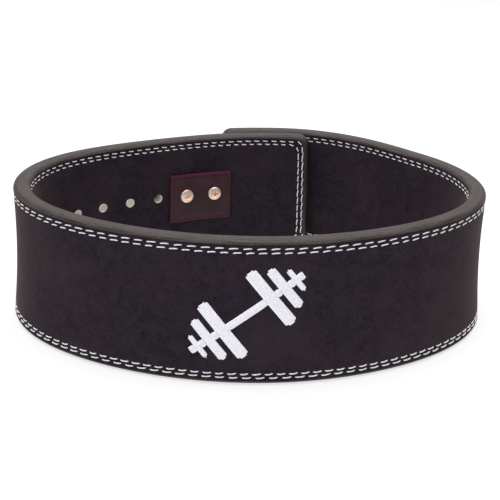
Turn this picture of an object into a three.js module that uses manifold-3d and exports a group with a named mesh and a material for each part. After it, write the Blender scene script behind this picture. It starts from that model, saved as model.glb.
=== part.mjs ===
// A weightlifting belt of suede-faced leather, fastened in an oval loop and standing on its lower edge.
// Millimetres. +Z is up, the front of the loop is at -Y and the two ends lap at the back.
import * as THREE from "three";
import { mergeVertices } from "three/addons/utils/BufferGeometryUtils.js";
import Module from "manifold-3d";

const wasm = await Module();
wasm.setup();

// Loop, over the outside of the leather
const loopWidth = 347;
const loopDepth = 254;
// How far the loop reaches at each turn, as a share of an oval of that width and depth
const loopShape = [
  { turn: 0, reach: 1.007 }, // right bend
  { turn: 30, reach: 1.005 },
  { turn: 60, reach: 1.028 },
  { turn: 90, reach: 0.995 }, // middle of the back
  { turn: 120, reach: 0.905 },
  { turn: 150, reach: 0.939 },
  { turn: 180, reach: 0.998 }, // left bend
  { turn: 210, reach: 1.027 },
  { turn: 240, reach: 1.017 },
  { turn: 270, reach: 1.011 }, // middle of the front
  { turn: 300, reach: 0.993 },
  { turn: 330, reach: 1.003 },
];
const turnStep = 6.8; // degrees between two sections of the strap

// Strap
const beltHeight = 100;
const leatherThickness = 12.5;
const edgeRounding = 3.6; // burnished edges
const tipCorner = 8;
const innerTipTurn = 74.3; // where the inner end stops, right of the middle of the back
const lapLength = 72; // how far the outer end runs over the inner one
const lapGap = 3; // clear space between the two ends
const lapRamp = { start: 36, end: 80 }; // turns over which the strap moves outward to pass over the inner end
const lean = 2.2; // the lower edge stands this far out from mid-height, the upper edge this far in
const tipSlant = 2.4; // the inner end runs out this far at its lower edge, as it isn't cut square
const slantReach = 45; // from the inner tip to where the slant has died out
const bendFlare = 2.4; // both edges stand this far out from mid-height at the tight bends

// Suede on both faces
const suedeThickness = 1.6;
const suedeBevel = 0.5;
const bandHeight = 2.6; // burnished leather left bare round the suede

// Holes
const holeDiameter = 7.2;
const holeRise = 0.8; // from the middle of the belt's height up to the row of holes
const holePitch = 25.4;
const holeCount = 6; // in the inner end, two of them under the screws
const outerHoleCount = 2;
const outerHoleInset = 25; // from the outer tip to its first hole
const screwSetback = 9.7; // from the outer tip to the nearest screw

// Patch and screws inside the inner end
const patchLength = 55;
const patchHeight = 42;
const patchDrop = 2.2; // from the height of the screws down to the middle of the patch
const patchThickness = 2;
const patchCorner = 1.5;
const headDiameter = 11.4;
const headHeight = 2.4;
const shankDiameter = 5;
const crossLength = 5.6;
const crossWidth = 1.1;
const crossDepth = 1.5;

// Lever buckle on the outside
const plateThickness = 2;
const plateHeight = 46;
const plateEnd = 8.5; // past the last screw and past the first one
const plateCorner = 4;
const earLength = 46;
const leverDrop = 0.7; // how much of its height over the plate the closed lever loses towards its end
const hingeDiameter = 7;
const prongPlateHeight = 34;
const prongDiameter = 6.6;

// Raised emblem on the front: a slanted barbell
const emblemSlant = 38; // degrees
const emblemLength = 88;
const emblemBar = 6.4;
const emblemRelief = 1.4;
const emblemStep = 10; // longest stretch that stays straight as the emblem follows the belt
const emblemPadding = 0.3; // how much lower the bar is than the discs
// Discs of each side, as shares of the emblem's length
const emblemDiscs = [
  { middle: 0.215, width: 0.105, height: 0.5 },
  { middle: 0.34, width: 0.085, height: 0.36 },
  { middle: 0.44, width: 0.05, height: 0.2 },
];

// Clearances
const seatGap = 0.3;
const headGap = 0.6; // under a screw's flat head, which lies on the curved patch
const cutMargin = 3; // cutters run this far past the faces that they cut
const sharpestEdge = 0.15; // share of an edge's rounding that is left where two roundings meet at a tip
const roundSides = 16; // of posts, holes and screws

const leather = new THREE.MeshStandardMaterial({ color: "#37333a", roughness: 0.45, metalness: 0 });
const suede = new THREE.MeshStandardMaterial({ color: "#221e25", roughness: 0.95, metalness: 0 });
const oxblood = new THREE.MeshStandardMaterial({ color: "#45252c", roughness: 0.6, metalness: 0 });
const copper = new THREE.MeshStandardMaterial({ color: "#d9a384", roughness: 0.3, metalness: 1 });
const blackSteel = new THREE.MeshStandardMaterial({ color: "#1d1d1f", roughness: 0.5, metalness: 0.6 });
const whiteThread = new THREE.MeshStandardMaterial({ color: "#f2f1ee", roughness: 0.6, metalness: 0 });

const radians = THREE.MathUtils.degToRad;
const mix = THREE.MathUtils.lerp;

// Reach of the loop at a turn, a smooth closed curve through the table's equally spaced rows
function reachAt(turn) {
  const rows = loopShape.length;
  return loopShape.reduce((sum, row) => {
    const half = radians(turn - row.turn) / 2;
    const onRow = Math.abs(Math.sin(half)) < 1e-9;
    return sum + row.reach * (onRow ? 1 : Math.sin(rows * half) / (rows * Math.tan(half)));
  }, 0);
}

// Point of the loop's outside at mid-height
function loopPoint(turn) {
  const reach = reachAt(turn);
  const x = (loopWidth / 2) * reach * Math.cos(radians(turn));
  const y = (loopDepth / 2) * reach * Math.sin(radians(turn));
  return new THREE.Vector2(x, y);
}

// Unit vector that points out of the loop
function loopOutward(turn) {
  const step = 0.01;
  const forward = loopPoint(turn + step).sub(loopPoint(turn - step)).normalize();
  return new THREE.Vector2(forward.y, -forward.x);
}

// The outer end's turn, found by walking along the inner end until the lap has its length
function outerTipTurn() {
  const step = 0.1;
  let walked = 0;
  let turn = innerTipTurn;
  while (walked < lapLength) {
    walked += loopPoint(turn + step).distanceTo(loopPoint(turn));
    turn += step;
  }
  return turn + 360;
}

// How far the strap has moved outward at a turn, counted on from the inner tip
function lapShift(turn) {
  const share = THREE.MathUtils.smoothstep(turn - 360, lapRamp.start, lapRamp.end);
  return (leatherThickness + lapGap) * share;
}

// The strap's middle line in straight runs: each station holds its distance from the inner tip and a mitre
function makeSpine() {
  const lastTurn = outerTipTurn();
  const runs = Math.round((lastTurn - innerTipTurn) / turnStep);
  const stations = [];
  for (let i = 0; i <= runs; i += 1) {
    const turn = mix(innerTipTurn, lastTurn, i / runs);
    const point = loopPoint(turn).addScaledVector(loopOutward(turn), lapShift(turn) - leatherThickness / 2);
    const before = stations.at(-1);
    const along = before ? before.along + point.distanceTo(before.point) : 0;
    stations.push({ point, along, bend: Math.cos(radians(turn)) ** 2 });
  }
  stations.forEach((station, i) => {
    const into = stations[Math.max(i, 1)].point.clone().sub(stations[Math.max(i, 1) - 1].point).normalize();
    const next = Math.min(i, runs - 1);
    const away = stations[next + 1].point.clone().sub(stations[next].point).normalize();
    const mitre = new THREE.Vector2(into.y + away.y, -into.x - away.x);
    station.mitre = mitre.multiplyScalar(2 / mitre.lengthSq());
  });
  return stations;
}

const spine = makeSpine();
const strapLength = spine.at(-1).along;
const midHeight = beltHeight / 2;
const holeHeight = midHeight + holeRise;
const halfThickness = leatherThickness / 2;

// Point on the strap: distance from the inner tip, distance out from its middle, height
function place(distance, out, up) {
  const slant = tipSlant * (1 - (up / beltHeight) ** 2);
  const along = distance - slant * Math.max(1 - distance / slantReach, 0) ** 2;
  const found = spine.findIndex((station) => station.along >= along);
  const next = found < 0 ? spine.length - 1 : Math.max(found, 1);
  const [a, b] = [spine[next - 1], spine[next]];
  const share = (along - a.along) / (b.along - a.along);
  const level = (2 * up) / beltHeight - 1;
  const bend = mix(a.bend, b.bend, THREE.MathUtils.clamp(share, 0, 1));
  const shifted = out - lean * level + bendFlare * bend * (level * level - 1);
  const pointAt = (station) => station.point.clone().addScaledVector(station.mitre, shifted);
  const point = pointAt(a).lerp(pointAt(b), share);
  return new THREE.Vector3(point.x, point.y, up);
}

// Distances from a round-cornered end at which a strip gets a section
function endSteps(corner) {
  const steps = corner > 0 ? 4 : 0;
  const angles = Array.from({ length: steps + 1 }, (_, i) => radians((90 * i) / Math.max(steps, 1)));
  return angles.map((angle) => corner * (1 - Math.cos(angle)));
}

// Depth of a rounding of the given radius at a distance from where it starts
function roundingDepth(radius, distance) {
  const left = Math.max(radius - distance, 0);
  return radius - Math.sqrt(radius * radius - left * left);
}

// One section of a strip as [out, up] pairs, counter-clockwise. Its faces are split into levels, so that they
// can curve, and its edges are rounded in edgeSteps.
function stripSection({ inner, outer, low, high, edge, edgeSteps, levels }) {
  const steps = edge > 0 ? edgeSteps : 0;
  const rounding = (out, up, firstAngle) =>
    Array.from({ length: steps + 1 }, (_, i) => {
      const angle = radians(firstAngle + (90 * i) / Math.max(steps, 1));
      return [out + edge * Math.cos(angle), up + edge * Math.sin(angle)];
    });
  const heights = Array.from({ length: levels - 1 }, (_, i) => mix(low, high, (i + 1) / levels));
  return [
    ...heights.map((up) => [outer, up]),
    ...rounding(outer - edge, high - edge, 0),
    ...rounding(inner + edge, high - edge, 90),
    ...heights.map((up) => [inner, up]).reverse(),
    ...rounding(inner + edge, low + edge, 180),
    ...rounding(outer - edge, low + edge, 270),
  ];
}

// A strip that follows the strap, with round corners at its ends and rounded edges. inner and outer are its
// distances out from the strap's middle at its two ends.
function strip({ from, to, inner, outer, low, high, corner = 0, edge = 0, edgeSteps = 1, levels = 1 }) {
  const steps = endSteps(corner);
  const stations = spine.map((station) => station.along);
  const between = stations.filter((along) => along > from + corner + 1 && along < to - corner - 1);
  const stops = [...steps.map((d) => from + d), ...between, ...steps.map((d) => to - d).reverse()];
  const rings = stops.map((along) => {
    const share = (along - from) / (to - from);
    const distance = Math.min(along - from, to - along);
    const drop = corner > 0 ? roundingDepth(corner, distance) : 0;
    const inset = edge > 0 && corner > 0 ? roundingDepth(edge, distance) : 0;
    const section = stripSection({
      inner: mix(inner[0], inner[1], share) + inset,
      outer: mix(outer[0], outer[1], share) - inset,
      low: low + drop,
      high: high - drop,
      edge: Math.max(edge - inset, edge * sharpestEdge),
      edgeSteps,
      levels,
    });
    return { along, section };
  });
  return closeRings(rings);
}

// Closed geometry through a row of sections with equal numbers of points
function closeRings(rings) {
  const size = rings[0].section.length;
  const points = rings.flatMap(({ along, section }) => section.map(([out, up]) => place(along, out, up)));
  const faces = [];
  for (let i = 0; i + 1 < rings.length; i += 1) {
    for (let j = 0; j < size; j += 1) {
      const [a, b] = [i * size + j, i * size + ((j + 1) % size)];
      faces.push(a, a + size, b + size, a, b + size, b);
    }
  }
  faces.push(...capFaces(rings[0].section, 0, false));
  faces.push(...capFaces(rings.at(-1).section, (rings.length - 1) * size, true));
  return new THREE.BufferGeometry().setFromPoints(points).setIndex(faces);
}

// Triangles that close one end of a row of sections
function capFaces(section, first, turned) {
  const contour = section.map(([out, up]) => new THREE.Vector2(out, up));
  return THREE.ShapeUtils.triangulateShape(contour, []).flatMap((corners) => {
    const flipped = THREE.ShapeUtils.area(corners.map((k) => contour[k])) < 0;
    const ordered = flipped === turned ? corners : [...corners].reverse();
    return ordered.map((k) => first + k);
  });
}

// A geometry as a solid that can be joined and cut
function solidOf(geometry) {
  const bare = new THREE.BufferGeometry().setAttribute("position", geometry.getAttribute("position"));
  const merged = mergeVertices(bare.setIndex(geometry.getIndex()), 1e-4);
  const vertProperties = new Float32Array(merged.getAttribute("position").array);
  return new wasm.Manifold(
    new wasm.Mesh({ numProp: 3, vertProperties, triVerts: new Uint32Array(merged.getIndex().array) }),
  );
}

function geometryOf(solid) {
  const { vertProperties, triVerts } = solid.getMesh();
  const geometry = new THREE.BufferGeometry();
  geometry.setAttribute("position", new THREE.BufferAttribute(vertProperties, 3));
  return geometry.setIndex(new THREE.BufferAttribute(triVerts, 1));
}

// The pieces joined into one solid and cut by the cutters
function shape(pieces, cutters = []) {
  const [first, ...others] = pieces.map(solidOf);
  const body = others.reduce((joined, piece) => joined.add(piece), first);
  return geometryOf(cutters.reduce((left, cutter) => left.subtract(solidOf(cutter)), body));
}

// Frame on the strap at the height of the holes: its Z points out of the loop and its Y points up
function frameAt(along, out) {
  const origin = place(along, out, holeHeight);
  const outward = place(along, out + 1, holeHeight).sub(origin).normalize();
  const up = new THREE.Vector3(0, 0, 1);
  const axes = new THREE.Matrix4().makeBasis(new THREE.Vector3().crossVectors(up, outward), up, outward);
  return axes.setPosition(origin);
}

// Round bar through the strap, from one distance out to another
function bar(along, diameter, inner, outer) {
  const geometry = new THREE.CylinderGeometry(diameter / 2, diameter / 2, outer - inner, roundSides);
  geometry.rotateX(Math.PI / 2).translate(0, 0, (inner + outer) / 2);
  return geometry.applyMatrix4(frameAt(along, 0));
}

const firstScrew = lapLength + screwSetback;
const holePlaces = Array.from({ length: holeCount }, (_, i) => firstScrew + i * holePitch);
const screwPlaces = holePlaces.slice(0, 2);
const firstOuterHole = strapLength - outerHoleInset;
const outerHolePlaces = Array.from({ length: outerHoleCount }, (_, i) => firstOuterHole - i * holePitch);

function holeCutters() {
  const reach = halfThickness + cutMargin;
  return [...holePlaces, ...outerHolePlaces].map((along) => bar(along, holeDiameter, -reach, reach));
}

// Suede layer or the recess that holds it; side is 1 for the outside face and -1 for the inside
function suedeStrip(side, clearance, face, edge) {
  const margin = bandHeight + clearance;
  const floor = halfThickness - suedeThickness - seatGap + clearance;
  const [inner, outer] = side > 0 ? [floor, face] : [-face, -floor];
  return strip({
    from: margin,
    to: strapLength - margin,
    inner: [inner, inner],
    outer: [outer, outer],
    low: margin,
    high: beltHeight - margin,
    corner: tipCorner - margin,
    edge,
    levels: 3,
  });
}

function makeStrapCore() {
  const body = strip({
    from: 0,
    to: strapLength,
    inner: [-halfThickness, -halfThickness],
    outer: [halfThickness, halfThickness],
    low: 0,
    high: beltHeight,
    corner: tipCorner,
    edge: edgeRounding,
    edgeSteps: 2,
    levels: 3,
  });
  const recesses = [1, -1].map((side) => suedeStrip(side, 0, halfThickness + cutMargin, 0));
  return shape([body], [...recesses, ...holeCutters()]);
}

function makeSuede(side) {
  return shape([suedeStrip(side, seatGap, halfThickness, suedeBevel)], holeCutters());
}

const patchOutside = -halfThickness - seatGap;
const patchInside = patchOutside - patchThickness;
const screwMiddle = (screwPlaces[0] + screwPlaces[1]) / 2;

function makePatch() {
  const plain = strip({
    from: screwMiddle - patchLength / 2,
    to: screwMiddle + patchLength / 2,
    inner: [patchInside, patchInside],
    outer: [patchOutside, patchOutside],
    low: holeHeight - patchDrop - patchHeight / 2,
    high: holeHeight - patchDrop + patchHeight / 2,
    corner: patchCorner,
    edge: suedeBevel,
  });
  const diameter = shankDiameter + 2 * seatGap;
  const shankHoles = screwPlaces.map((along) =>
    bar(along, diameter, patchInside - cutMargin, patchOutside + cutMargin),
  );
  return shape([plain], shankHoles);
}

// Pan head screw with a cross recess, its head's seat at the origin and its shank along +Z
const shankLength = patchThickness + leatherThickness - 1;

function makeScrew() {
  const outline = [
    new THREE.Vector2(0, shankLength),
    new THREE.Vector2(shankDiameter / 2, shankLength),
    new THREE.Vector2(shankDiameter / 2, 0),
    new THREE.Vector2(headDiameter / 2, 0),
    new THREE.Vector2(headDiameter / 2, -headHeight * 0.4),
    new THREE.Vector2(headDiameter * 0.42, -headHeight * 0.82),
    new THREE.Vector2(headDiameter * 0.26, -headHeight),
    new THREE.Vector2(0, -headHeight),
  ].reverse();
  const blank = new THREE.LatheGeometry(outline, roundSides).rotateX(Math.PI / 2);
  const slots = [0, Math.PI / 2].map((angle) => {
    const slot = new THREE.BoxGeometry(crossLength, crossWidth, 2 * crossDepth);
    return slot.rotateZ(angle).translate(0, 0, -headHeight);
  });
  return shape([blank], slots);
}

function addScrew(group, name, along) {
  const screw = new THREE.Mesh(makeScrew(), copper);
  screw.name = name;
  frameAt(along, patchInside - headGap).decompose(screw.position, screw.quaternion, screw.scale);
  group.add(screw);
}

// Fastened lever buckle: plate with two posts in the strap's holes, two ears, the closed lever, and the prong
// plate that reaches back over the outer end
function makeBuckle() {
  const foot = halfThickness + seatGap;
  const plateFace = foot + plateThickness;
  const lapFace = halfThickness + seatGap;
  const top = lapGap + leatherThickness + lapFace + plateThickness;
  const plateFrom = firstScrew - plateEnd;
  const plateTo = screwPlaces[1] + plateEnd + holePitch;
  const earTo = plateFrom + earLength;
  const [low, high] = [holeHeight - plateHeight / 2, holeHeight + plateHeight / 2];
  const plate = strip({
    from: plateFrom,
    to: plateTo,
    inner: [foot, foot],
    outer: [plateFace, plateFace],
    low,
    high,
    corner: plateCorner,
  });
  const leverEnd = mix(top, plateFace, leverDrop);
  const earEnd = mix(top, leverEnd, earLength / (plateTo - plateFrom));
  const ears = [low, high - plateThickness].map((bottom) =>
    strip({
      from: plateFrom + plateCorner / 2,
      to: earTo,
      inner: [foot + plateThickness / 2, foot + plateThickness / 2],
      outer: [top - plateThickness / 2, earEnd],
      low: bottom,
      high: bottom + plateThickness,
    }),
  );
  const lever = strip({
    from: plateFrom + plateCorner,
    to: plateTo - plateCorner,
    inner: [top - 2 * plateThickness, leverEnd - plateThickness],
    outer: [top - plateThickness, leverEnd],
    low: low + plateThickness / 2,
    high: high - plateThickness / 2,
    corner: plateCorner,
  });
  const postDiameter = holeDiameter - 2 * seatGap;
  const hingeMiddle = place(plateFrom + hingeDiameter, top - hingeDiameter / 2, holeHeight);
  const hinge = new THREE.CylinderGeometry(hingeDiameter / 2, hingeDiameter / 2, plateHeight, roundSides);
  hinge.rotateX(Math.PI / 2).translate(hingeMiddle.x, hingeMiddle.y, hingeMiddle.z);
  const posts = screwPlaces.map((along) => bar(along, postDiameter, -halfThickness + 1, foot + 0.5));
  const boreDiameter = shankDiameter + 2 * seatGap;
  const boreEnd = foot + plateThickness / 2;
  const bores = screwPlaces.map((along) => bar(along, boreDiameter, -halfThickness, boreEnd));
  const overlap = plateFrom - lapLength;
  const reach = outerHoleInset + (outerHoleCount - 1) * holePitch + holeDiameter;
  const prongPlate = strip({
    from: strapLength - reach,
    to: strapLength + overlap + earLength / 2,
    inner: [lapFace, lapFace],
    outer: [lapFace + plateThickness, lapFace + plateThickness],
    low: holeHeight - prongPlateHeight / 2,
    high: holeHeight + prongPlateHeight / 2,
    corner: plateCorner,
  });
  const prongs = outerHolePlaces.map((along) => bar(along, prongDiameter, -halfThickness + 1, lapFace + 1));
  return shape([plate, ...ears, hinge, lever, prongPlate, ...posts, ...prongs], bores);
}

// Box of the emblem in its own plane, slanted and laid on the front of the belt
function emblemBlock(middle, width, height, lower, upper) {
  const counts = [width, height].map((size) => Math.ceil(size / emblemStep));
  const block = new THREE.BoxGeometry(width, height, upper - lower, ...counts, 1);
  block.translate(middle, 0, (lower + upper) / 2).rotateZ(radians(emblemSlant));
  const front = frontMiddle();
  const position = block.getAttribute("position");
  for (let i = 0; i < position.count; i += 1) {
    const [along, up, out] = [position.getX(i), position.getY(i), position.getZ(i)];
    const laid = place(front + along, halfThickness + out, midHeight + up);
    position.setXYZ(i, laid.x, laid.y, laid.z);
  }
  return block;
}

// Distance along the strap to the middle of the front, where it crosses x = 0 for the first time
function frontMiddle() {
  const next = spine.findIndex((station, i) => i > 0 && spine[i - 1].point.x < 0 && station.point.x >= 0);
  const [a, b] = [spine[next - 1], spine[next]];
  return mix(a.along, b.along, -a.point.x / (b.point.x - a.point.x));
}

function makeEmblem() {
  const rod = emblemBlock(0, emblemLength, emblemBar, 1.5 * seatGap, emblemRelief - emblemPadding);
  const discs = [1, -1].flatMap((side) =>
    emblemDiscs.map(({ middle, width, height }) => {
      const size = [width, height].map((share) => share * emblemLength);
      return emblemBlock(side * middle * emblemLength, ...size, seatGap, emblemRelief);
    }),
  );
  return shape([rod, ...discs]);
}

const belt = new THREE.Group();
const loop = new THREE.Group();

function addPiece(name, geometry, material) {
  const mesh = new THREE.Mesh(geometry, material);
  mesh.name = name;
  loop.add(mesh);
}

addPiece("strap_core", makeStrapCore(), leather);
addPiece("suede_facing", makeSuede(1), suede);
addPiece("suede_lining", makeSuede(-1), suede);
addPiece("backing_patch", makePatch(), oxblood);
addScrew(loop, "screw_right", screwPlaces[0]);
addScrew(loop, "screw_left", screwPlaces[1]);
addPiece("lever_buckle", makeBuckle(), blackSteel);
addPiece("embroidery", makeEmblem(), whiteThread);

// The belt stands on its lower edge with the middle of its outline at the origin
const middle = new THREE.Box3().setFromObject(loop).getCenter(new THREE.Vector3());
loop.position.set(-middle.x, -middle.y, 0);
belt.add(loop);

export default belt;
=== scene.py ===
import math

import bmesh
import bpy
import numpy as np
from mathutils import Matrix, Vector


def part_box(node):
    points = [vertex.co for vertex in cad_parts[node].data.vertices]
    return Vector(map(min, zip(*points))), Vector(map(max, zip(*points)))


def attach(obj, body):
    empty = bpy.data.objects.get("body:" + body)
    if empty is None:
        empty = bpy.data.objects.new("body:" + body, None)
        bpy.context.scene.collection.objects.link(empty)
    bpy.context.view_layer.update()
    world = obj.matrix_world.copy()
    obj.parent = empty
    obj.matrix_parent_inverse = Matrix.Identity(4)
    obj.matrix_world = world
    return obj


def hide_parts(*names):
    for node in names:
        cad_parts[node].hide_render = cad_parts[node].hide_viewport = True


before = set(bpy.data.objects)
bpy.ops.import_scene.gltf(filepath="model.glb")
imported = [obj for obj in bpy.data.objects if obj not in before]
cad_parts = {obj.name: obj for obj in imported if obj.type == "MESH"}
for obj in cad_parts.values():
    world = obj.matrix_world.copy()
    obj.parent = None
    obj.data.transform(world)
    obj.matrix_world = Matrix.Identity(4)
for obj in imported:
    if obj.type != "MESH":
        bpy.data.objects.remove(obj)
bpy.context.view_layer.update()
scene = bpy.context.scene
print("frame loaded:", ", ".join(sorted(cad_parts)))

strap = {
    "loopWidth": 347.0,  # over the outside of the leather
    "loopDepth": 254.0,
    # reach of the loop every 30 degrees, from the right bend round by the back
    "reach": (1.007, 1.005, 1.028, 0.995, 0.905, 0.939, 0.998, 1.027, 1.017, 1.011, 0.993, 1.003),
    "height": 100.0,
    "thickness": 12.5,
    "edgeRounding": 3.6,
    "tipCorner": 8.0,
    "innerTipTurn": 74.3,
    "lapLength": 72.0,
    "lapGap": 3.0,
    "lapRamp": (36.0, 80.0),  # turns over which the outer end climbs over the inner one
    "lean": 2.2,
    "tipSlant": 2.4,  # how much further the inner end reaches at its lower edge
    "slantReach": 45.0,  # length of strap over which that slant dies out
    "holeRise": 0.8,  # of the row of holes over the middle of the height
    "bendFlare": 2.4,
    "stationLength": 2.6,  # distance between two sections of the mesh
    "heightStep": 9.0,
}
halfThickness = strap["thickness"] / 2
midHeight = strap["height"] / 2
holeHeight = midHeight + strap["holeRise"]


# Loop points over the outside at mid-height
def loopPoints(turns):
    rows = len(strap["reach"])
    reach = np.zeros_like(turns)
    for i, share in enumerate(strap["reach"]):
        half = np.radians(turns - 360 * i / rows) / 2
        onRow = np.abs(np.sin(half)) < 1e-9
        half = np.where(onRow, 1.0, half)
        reach += share * np.where(onRow, 1.0, np.sin(rows * half) / (rows * np.tan(half)))
    angles = np.radians(turns)
    across = strap["loopWidth"] / 2 * reach * np.cos(angles)
    deep = strap["loopDepth"] / 2 * reach * np.sin(angles)
    return np.stack((across, deep), 1)


# Unit vectors that point out of a run of points that goes round counter-clockwise
def outwardOf(points):
    forward = np.gradient(points, axis=0)
    forward /= np.linalg.norm(forward, axis=1)[:, None]
    return np.stack((forward[:, 1], -forward[:, 0]), 1)


# Middle line of the strap, from the inner tip right round the loop to the outer tip
def strapPath():
    turns = np.arange(strap["innerTipTurn"], 360, 0.05)
    steps = np.linalg.norm(np.diff(loopPoints(turns), axis=0), axis=1)
    lapTurn = turns[1 + np.searchsorted(np.cumsum(steps), strap["lapLength"])]
    turns = np.linspace(strap["innerTipTurn"], lapTurn + 360, 4000)
    start, end = strap["lapRamp"]
    share = np.clip((turns - 360 - start) / (end - start), 0, 1)
    shift = (strap["thickness"] + strap["lapGap"]) * share * share * (3 - 2 * share)
    outside = loopPoints(turns)
    middle = outside + outwardOf(outside) * (shift - halfThickness)[:, None]
    along = np.concatenate(([0], np.cumsum(np.linalg.norm(np.diff(middle, axis=0), axis=1))))
    bend = np.cos(np.radians(turns)) ** 2
    return {"along": along, "point": middle, "outward": outwardOf(middle), "bend": bend[:, None]}


path = strapPath()
strapLength = path["along"][-1]
centring = np.zeros(2)


def onPath(name, along):
    return np.stack([np.interp(along, path["along"], column) for column in path[name].T], -1)


# Points in metres; past a tip the strap's line runs on straight
def strapPoints(along, out, up):
    along, out, up = np.broadcast_arrays(*(np.asarray(v, float) for v in (along, out, up)))
    slant = strap["tipSlant"] * (1 - (up / strap["height"]) ** 2)
    along = along - slant * np.clip(1 - along / strap["slantReach"], 0, None) ** 2
    held = np.clip(along, 0, strapLength)
    outward = onPath("outward", held)
    outward /= np.linalg.norm(outward, axis=-1)[..., None]
    forward = np.stack((-outward[..., 1], outward[..., 0]), -1)
    level = 2 * up / strap["height"] - 1
    flare = strap["bendFlare"] * onPath("bend", held)[..., 0] * (level * level - 1)
    shifted = out - strap["lean"] * level + flare
    plan = onPath("point", held) + outward * shifted[..., None] + forward * (along - held)[..., None]
    return np.concatenate((plan + centring, up[..., None]), -1) / 1000


# Unit vectors out of the loop, level with the floor
def outwardAt(along, up):
    step = strapPoints(along, 1.0, up) - strapPoints(along, 0.0, up)
    return step / np.linalg.norm(step, axis=-1)[..., None]


# The plan is moved so that the strap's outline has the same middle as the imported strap
around = np.linspace(0, strapLength, 1600)
edges = [strapPoints(around, side * halfThickness, up) for side in (1, -1) for up in (0, 50, 100)]
edges = np.concatenate(edges)
low, high = (np.array(corner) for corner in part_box("strap_core"))
centring = 1000 * ((low + high) / 2 - (edges.min(0) + edges.max(0)) / 2)[:2]
print(f"strap {strapLength:.1f} mm long, plan moved by {centring[0]:.2f}, {centring[1]:.2f} mm")


# Linear colour from an sRGB hex value
def colour(hexValue):
    parts = [int(hexValue[i : i + 2], 16) / 255 for i in (1, 3, 5)]
    return (*(p / 12.92 if p <= 0.04045 else ((p + 0.055) / 1.055) ** 2.4 for p in parts), 1.0)


# Adds one node with its settings; inputs are values, or the sockets that feed them
def addNode(tree, kind, inputs=None, **settings):
    node = tree.nodes.new(kind)
    for name, value in settings.items():
        setattr(node, name, value)
    for key, value in (inputs or {}).items():
        if isinstance(value, bpy.types.NodeSocket):
            tree.links.new(value, node.inputs[key])
        else:
            node.inputs[key].default_value = value
    return node


# Starts a material; place is the point in the object's own coordinates
def startMaterial(name):
    material = bpy.data.materials.new(name)
    material.use_nodes = True
    material.node_tree.nodes.clear()
    place = addNode(material.node_tree, "ShaderNodeTexCoord").outputs["Object"]
    return material, material.node_tree, place


# Ramp from one value to colours at places from 0 to 1
def addRamp(tree, value, *stops):
    ramp = addNode(tree, "ShaderNodeValToRGB", {"Fac": value})
    while len(ramp.color_ramp.elements) < len(stops):
        ramp.color_ramp.elements.new(0.5)
    for element, (place, shade) in zip(ramp.color_ramp.elements, stops):
        element.position = place
        element.color = colour(shade)
    return ramp.outputs["Color"]


def addMath(tree, operation, *values):
    return addNode(tree, "ShaderNodeMath", dict(enumerate(values)), operation=operation).outputs[0]


# Noise with grains of a size in millimetres
def addNoise(tree, place, grain, detail=2.0, **settings):
    settings |= {"Vector": place, "Scale": 1000 / grain, "Detail": detail}
    return addNode(tree, "ShaderNodeTexNoise", settings).outputs["Fac"]


# Carries a value over from the range start to end to the range low to high
def addRange(tree, value, start, end, low=0.0, high=1.0):
    settings = {"Value": value, "From Min": start, "From Max": end, "To Min": low, "To Max": high}
    return addNode(tree, "ShaderNodeMapRange", settings).outputs["Result"]


def addMix(tree, share, first, second):
    return addNode(tree, "ShaderNodeMix", {0: share, 2: first, 3: second}, data_type="FLOAT").outputs[0]


def addColourMix(tree, share, first, second):
    return addNode(tree, "ShaderNodeMix", {0: share, 6: first, 7: second}, data_type="RGBA").outputs[2]


# Shades the material by the settings, with a bump from a height; depth is in metres
def finishMaterial(material, settings, height, strength, depth):
    tree = material.node_tree
    shader = addNode(tree, "ShaderNodeBsdfPrincipled", settings)
    bump = addNode(tree, "ShaderNodeBump", {"Height": height, "Strength": strength, "Distance": depth})
    tree.links.new(bump.outputs["Normal"], shader.inputs["Normal"])
    addNode(tree, "ShaderNodeOutputMaterial", {"Surface": shader.outputs["BSDF"]})
    return material


# Grain sizes in the finishes are in millimetres
suedeFinish = {
    "napLow": "#0f0b12",
    "napHigh": "#322934",
    "rubbed": "#382f30",  # where the nap has been rubbed down
    "sheenTint": "#b59c8a",
    "tuft": 1.1,  # the real nap, about 0.2 mm, is too fine to show
    "brushMark": 7.0,
    "cloud": 45.0,
}


# Split leather, dyed black and buffed to a nap: matt, blotched where it was brushed, with a pale bloom
# when it is seen along the surface
def buffedBlackSuede():
    material, tree, place = startMaterial("buffedBlackSuede")
    tufts = addNoise(tree, place, suedeFinish["tuft"], 3.0)
    marks = addNoise(tree, place, suedeFinish["brushMark"], 4.0, Roughness=0.65, Distortion=0.6)
    clouds = addNoise(tree, place, suedeFinish["cloud"])
    nap = addMath(tree, "MULTIPLY", addMath(tree, "ADD", tufts, marks), 0.5)
    dyed = addRamp(tree, nap, (0.3, suedeFinish["napLow"]), (0.7, suedeFinish["napHigh"]))
    rubbed = addRange(tree, clouds, 0.45, 0.8, 0.0, 0.5)
    settings = {
        "Base Color": addColourMix(tree, rubbed, dyed, colour(suedeFinish["rubbed"])),
        "Roughness": addRange(tree, marks, 0.3, 0.7, 0.86, 0.98),
        "Specular IOR Level": 0.1,
        "Sheen Weight": 0.18,
        "Sheen Roughness": 0.45,
        "Sheen Tint": colour(suedeFinish["sheenTint"]),
    }
    return finishMaterial(material, settings, nap, 0.75, 0.0005)


edgeFinish = {
    "streakLow": "#0f0c0c",
    "streakHigh": "#4a403d",
    "streakLength": 26.0,
    "streakWidth": 1.3,
    "pore": 1.3,
}


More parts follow.
